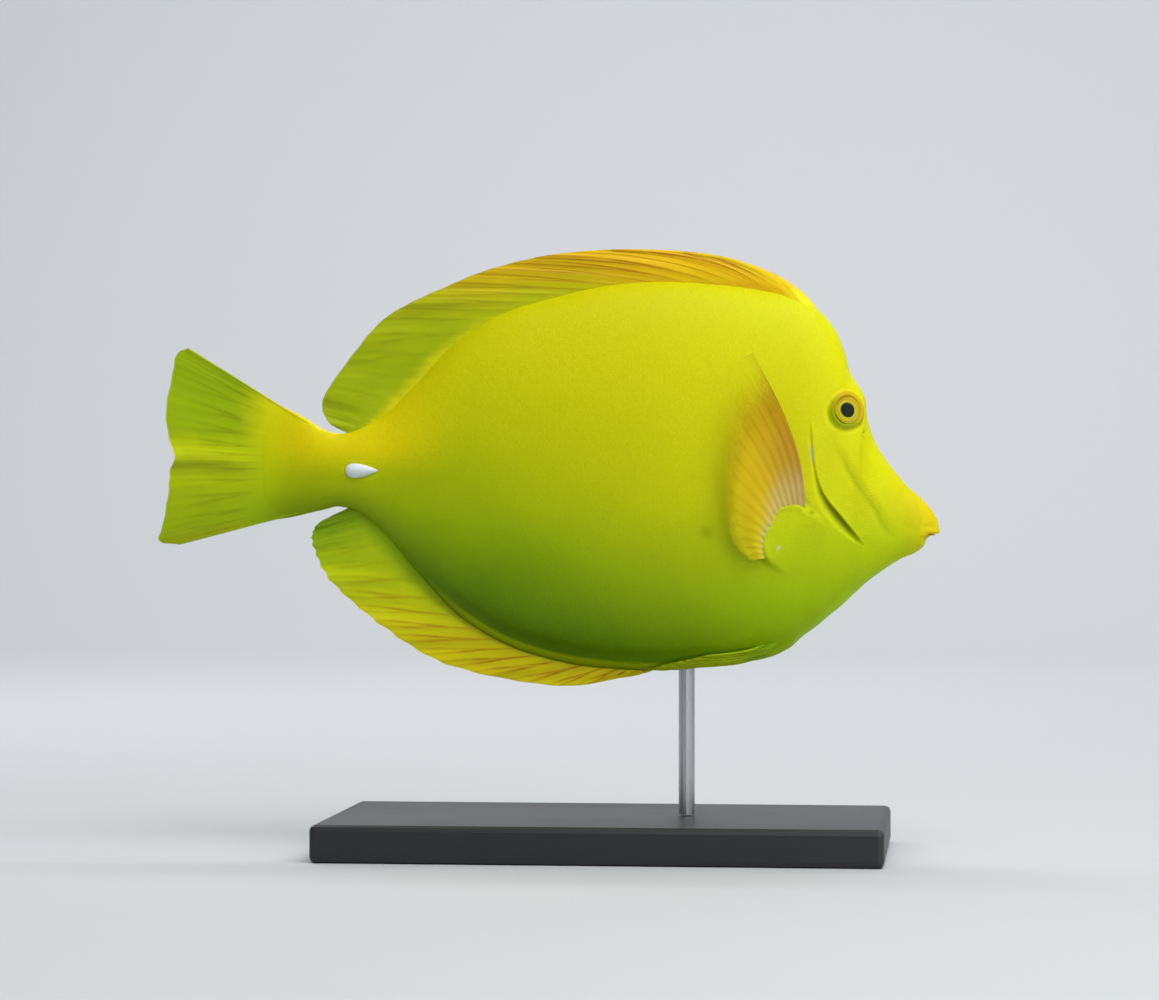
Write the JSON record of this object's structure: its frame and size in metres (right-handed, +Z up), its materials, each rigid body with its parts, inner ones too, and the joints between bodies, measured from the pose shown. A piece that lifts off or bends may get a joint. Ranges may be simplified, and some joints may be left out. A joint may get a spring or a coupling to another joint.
{
  "type": "yellow tang",
  "caption": "Life-size still model of a yellow tang swimming level, its fins spread and its pectoral fins raised, held over a flat base by a short rod.",
  "frame": {"origin": "on the surface that the stand rests on, under the middle of the fish's length", "axes": "+X towards the fish's snout, +Z up, -Y to the fish's right side"},
  "size_m": [0.1703, 0.064, 0.13],
  "materials": {
    "skin": "moist lemon-yellow scaled skin",
    "dorsal_membrane": "thin satin membrane, amber to yellow",
    "anal_membrane": "thin satin membrane, yellow with orange rays",
    "caudal_membrane": "thin satin membrane, yellow-green",
    "pectoral_membrane": "thin satin membrane, amber with pale rays",
    "pelvic_membrane": "thin satin membrane, yellow",
    "eye": "clear wet cornea over an olive-gold iris and a black pupil",
    "spine": "smooth white bone",
    "stand_metal": "satin round rod",
    "stand_base": "satin black"
  },
  "bodies": {
    "root": {"head": "skin", "trunk": "skin", "tail_base": "skin", "gill_cover_right": "skin", "gill_cover_left": "skin", "dorsal_fin": "dorsal_membrane", "anal_fin": "anal_membrane", "caudal_fin": "caudal_membrane", "pectoral_fin_right": "pectoral_membrane", "pectoral_fin_left": "pectoral_membrane", "pelvic_fin_right": "pelvic_membrane", "pelvic_fin_left": "pelvic_membrane", "eye_right": "eye", "eye_left": "eye", "caudal_spine_right": "spine", "caudal_spine_left": "spine", "stand_rod": "stand_metal", "stand_base": "stand_base"}
  },
  "joints": []
}
